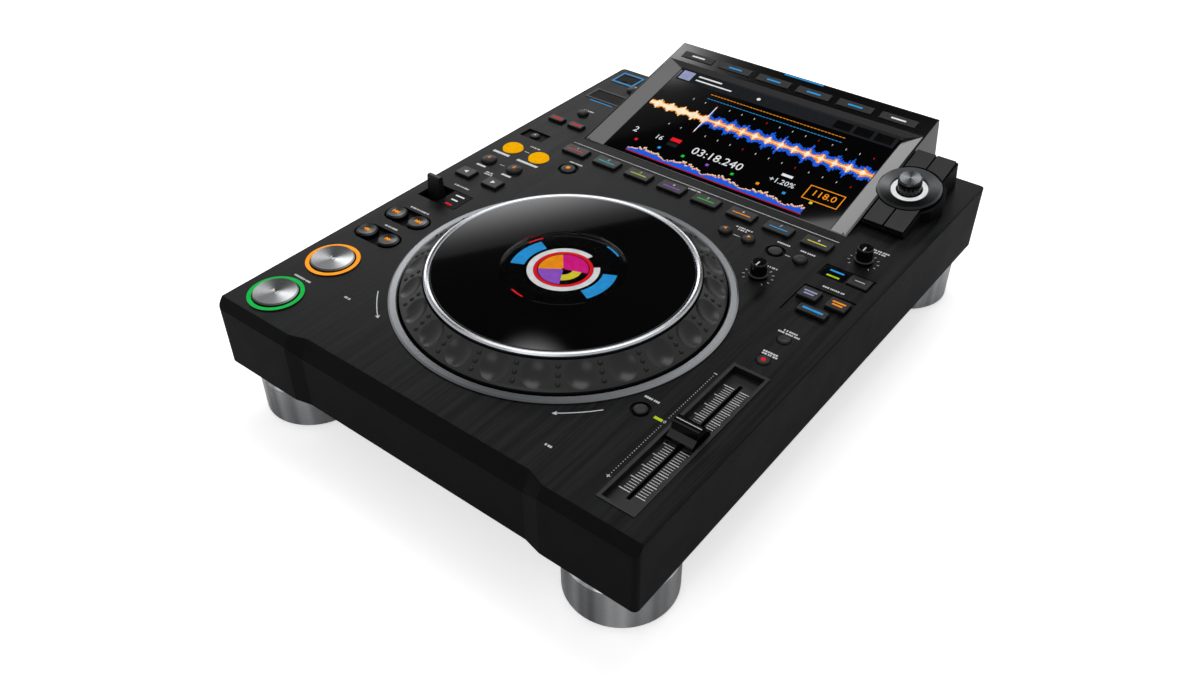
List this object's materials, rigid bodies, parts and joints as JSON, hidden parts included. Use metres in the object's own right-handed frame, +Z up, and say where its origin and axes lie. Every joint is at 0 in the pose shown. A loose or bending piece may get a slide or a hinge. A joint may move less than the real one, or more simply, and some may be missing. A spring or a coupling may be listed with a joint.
{
  "type": "tabletop media player deck",
  "caption": "Tabletop DJ media player deck with jog wheel, tilted touch screen, tempo fader and backlit keys.",
  "frame": {"origin": "bottom centre of the overall box, on the surface the feet stand on", "axes": "+Z up, front edge to -Y, tempo fader on the +X side"},
  "size_m": [0.329, 0.453, 0.1185],
  "materials": {
    "case_black": "satin",
    "panel_black": "brushed",
    "steel_black": "satin",
    "gloss_black": "gloss",
    "key_black": "satin",
    "key_amber": "gloss",
    "rubber_black": "matte",
    "satin_aluminium": "satin",
    "spun_metal": "brushed",
    "glass_black": "gloss",
    "light_ring": "gloss",
    "screen": "gloss",
    "board_green": "matte",
    "socket_metal": "satin",
    "wheel_black": "satin"
  },
  "bodies": {
    "chassis": {"top_panel": "panel_black", "top_case": "case_black", "bottom_tray": "steel_black", "display_housing": "case_black", "display_glass": "glass_black", "display_module": "screen", "jog_surround": "satin_aluminium", "jog_bearing": "steel_black", "jog_display": "screen", "transport_rings": "light_ring", "foot_cups": "satin_aluminium", "foot_pads": "rubber_black", "rear_sockets": "socket_metal", "ac_inlet": "key_black", "control_board": "board_green", "power_supply": "socket_metal", "fader_tray": "key_black", "selector_plinth": "case_black", "selector_ring": "spun_metal", "usb_port": "light_ring", "card_slot": "key_black"},
    "cue_button": {"cue_button": "spun_metal"},
    "play_button": {"play_button": "spun_metal"},
    "search_keys": {"search_keys": "spun_metal"},
    "track_search_keys": {"track_search_keys": "spun_metal"},
    "beat_jump_keys": {"beat_jump_keys": "key_black"},
    "beat_loop_keys": {"beat_loop_keys": "key_black"},
    "loop_in_and_out_keys": {"loop_in_and_out_keys": "key_amber"},
    "reloop_key": {"reloop_key": "key_black"},
    "touch_mode_key": {"touch_mode_key": "key_black"},
    "slip_and_quantize_keys": {"slip_and_quantize_keys": "key_black"},
    "time_and_stop_keys": {"time_and_stop_keys": "key_black"},
    "hot_cue_key_1": {"hot_cue_key_1": "key_black"},
    "hot_cue_key_2": {"hot_cue_key_2": "key_black"},
    "hot_cue_key_3": {"hot_cue_key_3": "key_black"},
    "hot_cue_key_4": {"hot_cue_key_4": "key_black"},
    "hot_cue_key_5": {"hot_cue_key_5": "key_black"},
    "hot_cue_key_6": {"hot_cue_key_6": "key_black"},
    "hot_cue_key_7": {"hot_cue_key_7": "key_black"},
    "hot_cue_key_8": {"hot_cue_key_8": "key_black"},
    "call_keys": {"call_keys": "key_black"},
    "delete_and_memory_keys": {"delete_and_memory_keys": "key_black"},
    "jog_mode_key": {"jog_mode_key": "key_black"},
    "sync_and_master_keys": {"sync_and_master_keys": "key_black"},
    "key_sync_key": {"key_sync_key": "key_black"},
    "tempo_range_and_lock_keys": {"tempo_range_and_lock_keys": "key_black"},
    "tempo_reset_key": {"tempo_reset_key": "key_black"},
    "direction_lever": {"direction_lever": "key_black"},
    "jog_adjust_knob": {"jog_adjust_knob": "gloss_black"},
    "speed_adjust_knob": {"speed_adjust_knob": "gloss_black"},
    "tempo_fader": {"tempo_fader": "gloss_black"},
    "jog_wheel": {"jog_wheel": "wheel_black"},
    "jog_plate": {"jog_plate": "gloss_black"},
    "selector_shaft": {"selector_shaft": "socket_metal"},
    "selector_knob": {"selector_knob": "spun_metal"},
    "selector_keys": {"selector_keys": "key_black"},
    "display_keys": {"display_keys": "key_black"},
    "usb_flap": {"usb_flap": "case_black"},
    "card_door": {"card_door": "case_black"},
    "power_button": {"power_button": "key_black"}
  },
  "joints": [
    {"name": "tempo_fader_slide", "type": "slide", "parent": "chassis", "child": "tempo_fader", "axis": [0, 1, 0], "range_m": [-0.05, 0.05]},
    {"name": "jog_wheel_spin", "type": "hinge", "parent": "chassis", "child": "jog_wheel", "pos_m": [0, -0.0818, 0.0864], "axis": [0, 0, -1], "continuous": true},
    {"name": "jog_plate_press", "type": "slide", "parent": "jog_wheel", "child": "jog_plate", "axis": [0, 0, -1], "range_m": [0, 0.00035], "stiffness_N_per_m": 8000},
    {"name": "direction_lever_tilt", "type": "hinge", "parent": "chassis", "child": "direction_lever", "pos_m": [-0.1464, -0.0485, 0.0694], "axis": [1, 0, 0], "range_deg": [-12, 12]},
    {"name": "jog_adjust_knob_turn", "type": "hinge", "parent": "chassis", "child": "jog_adjust_knob", "pos_m": [0.0915, 0.0047, 0.0864], "axis": [0, 0, -1], "range_deg": [-135, 135]},
    {"name": "speed_adjust_knob_turn", "type": "hinge", "parent": "chassis", "child": "speed_adjust_knob", "pos_m": [0.138, 0.0612, 0.0864], "axis": [0, 0, -1], "range_deg": [-135, 135]},
    {"name": "selector_press", "type": "slide", "parent": "chassis", "child": "selector_shaft", "axis": [0, 0.2272, -0.9739], "range_m": [0, 0.0006], "stiffness_N_per_m": 900},
    {"name": "selector_turn", "type": "hinge", "parent": "selector_shaft", "child": "selector_knob", "pos_m": [0.1302, 0.14184, 0.10085], "axis": [0, 0.2272, -0.9739], "continuous": true},
    {"name": "selector_keys_press", "type": "slide", "parent": "chassis", "child": "selector_keys", "axis": [0, 0.2272, -0.9739], "range_m": [0, 0.0008], "stiffness_N_per_m": 400},
    {"name": "display_keys_press", "type": "slide", "parent": "chassis", "child": "display_keys", "axis": [0, 0.2272, -0.9739], "range_m": [0, 0.0006], "stiffness_N_per_m": 400},
    {"name": "usb_flap_hinge", "type": "hinge", "parent": "chassis", "child": "usb_flap", "pos_m": [-0.1475, 0.19145, 0.08575], "axis": [-1, 0, 0], "range_deg": [0, 100]},
    {"name": "card_door_hinge", "type": "hinge", "parent": "chassis", "child": "card_door", "pos_m": [-0.138, 0.15425, 0.08575], "axis": [-1, 0, 0], "range_deg": [0, 100]},
    {"name": "power_button_press", "type": "slide", "parent": "chassis", "child": "power_button", "axis": [0, -1, 0], "range_m": [0, 0.003], "stiffness_N_per_m": 300},
    {"name": "cue_button_press", "type": "slide", "parent": "chassis", "child": "cue_button", "axis": [0, 0, -1], "range_m": [0, 0.0012], "stiffness_N_per_m": 600},
    {"name": "play_button_press", "type": "slide", "parent": "chassis", "child": "play_button", "axis": [0, 0, -1], "range_m": [0, 0.0012], "stiffness_N_per_m": 600},
    {"name": "search_keys_press", "type": "slide", "parent": "chassis", "child": "search_keys", "axis": [0, 0, -1], "range_m": [0, 0.0012], "stiffness_N_per_m": 400},
    {"name": "track_search_keys_press", "type": "slide", "parent": "chassis", "child": "track_search_keys", "axis": [0, 0, -1], "range_m": [0, 0.0012], "stiffness_N_per_m": 400},
    {"name": "beat_jump_keys_press", "type": "slide", "parent": "chassis", "child": "beat_jump_keys", "axis": [0, 0, -1], "range_m": [0, 0.0012], "stiffness_N_per_m": 400},
    {"name": "beat_loop_keys_press", "type": "slide", "parent": "chassis", "child": "beat_loop_keys", "axis": [0, 0, -1], "range_m": [0, 0.0012], "stiffness_N_per_m": 400},
    {"name": "loop_in_and_out_keys_press", "type": "slide", "parent": "chassis", "child": "loop_in_and_out_keys", "axis": [0, 0, -1], "range_m": [0, 0.0012], "stiffness_N_per_m": 400},
    {"name": "reloop_key_press", "type": "slide", "parent": "chassis", "child": "reloop_key", "axis": [0, 0, -1], "range_m": [0, 0.0012], "stiffness_N_per_m": 400},
    {"name": "touch_mode_key_press", "type": "slide", "parent": "chassis", "child": "touch_mode_key", "axis": [0, 0, -1], "range_m": [0, 0.0008], "stiffness_N_per_m": 400},
    {"name": "slip_and_quantize_keys_press", "type": "slide", "parent": "chassis", "child": "slip_and_quantize_keys", "axis": [0, 0, -1], "range_m": [0, 0.0012], "stiffness_N_per_m": 400},
    {"name": "time_and_stop_keys_press", "type": "slide", "parent": "chassis", "child": "time_and_stop_keys", "axis": [0, 0, -1], "range_m": [0, 0.0012], "stiffness_N_per_m": 400},
    {"name": "hot_cue_key_1_press", "type": "slide", "parent": "chassis", "child": "hot_cue_key_1", "axis": [0, 0, -1], "range_m": [0, 0.0012], "stiffness_N_per_m": 400},
    {"name": "hot_cue_key_2_press", "type": "slide", "parent": "chassis", "child": "hot_cue_key_2", "axis": [0, 0, -1], "range_m": [0, 0.0012], "stiffness_N_per_m": 400},
    {"name": "hot_cue_key_3_press", "type": "slide", "parent": "chassis", "child": "hot_cue_key_3", "axis": [0, 0, -1], "range_m": [0, 0.0012], "stiffness_N_per_m": 400},
    {"name": "hot_cue_key_4_press", "type": "slide", "parent": "chassis", "child": "hot_cue_key_4", "axis": [0, 0, -1], "range_m": [0, 0.0012], "stiffness_N_per_m": 400},
    {"name": "hot_cue_key_5_press", "type": "slide", "parent": "chassis", "child": "hot_cue_key_5", "axis": [0, 0, -1], "range_m": [0, 0.0012], "stiffness_N_per_m": 400},
    {"name": "hot_cue_key_6_press", "type": "slide", "parent": "chassis", "child": "hot_cue_key_6", "axis": [0, 0, -1], "range_m": [0, 0.0012], "stiffness_N_per_m": 400},
    {"name": "hot_cue_key_7_press", "type": "slide", "parent": "chassis", "child": "hot_cue_key_7", "axis": [0, 0, -1], "range_m": [0, 0.0012], "stiffness_N_per_m": 400},
    {"name": "hot_cue_key_8_press", "type": "slide", "parent": "chassis", "child": "hot_cue_key_8", "axis": [0, 0, -1], "range_m": [0, 0.0012], "stiffness_N_per_m": 400},
    {"name": "call_keys_press", "type": "slide", "parent": "chassis", "child": "call_keys", "axis": [0, 0, -1], "range_m": [0, 0.0012], "stiffness_N_per_m": 400},
    {"name": "delete_and_memory_keys_press", "type": "slide", "parent": "chassis", "child": "delete_and_memory_keys", "axis": [0, 0, -1], "range_m": [0, 0.0012], "stiffness_N_per_m": 400},
    {"name": "jog_mode_key_press", "type": "slide", "parent": "chassis", "child": "jog_mode_key", "axis": [0, 0, -1], "range_m": [0, 0.0012], "stiffness_N_per_m": 400},
    {"name": "sync_and_master_keys_press", "type": "slide", "parent": "chassis", "child": "sync_and_master_keys", "axis": [0, 0, -1], "range_m": [0, 0.0012], "stiffness_N_per_m": 400},
    {"name": "key_sync_key_press", "type": "slide", "parent": "chassis", "child": "key_sync_key", "axis": [0, 0, -1], "range_m": [0, 0.0012], "stiffness_N_per_m": 400},
    {"name": "tempo_range_and_lock_keys_press", "type": "slide", "parent": "chassis", "child": "tempo_range_and_lock_keys", "axis": [0, 0, -1], "range_m": [0, 0.0012], "stiffness_N_per_m": 400},
    {"name": "tempo_reset_key_press", "type": "slide", "parent": "chassis", "child": "tempo_reset_key", "axis": [0, 0, -1], "range_m": [0, 0.0012], "stiffness_N_per_m": 400}
  ]
}
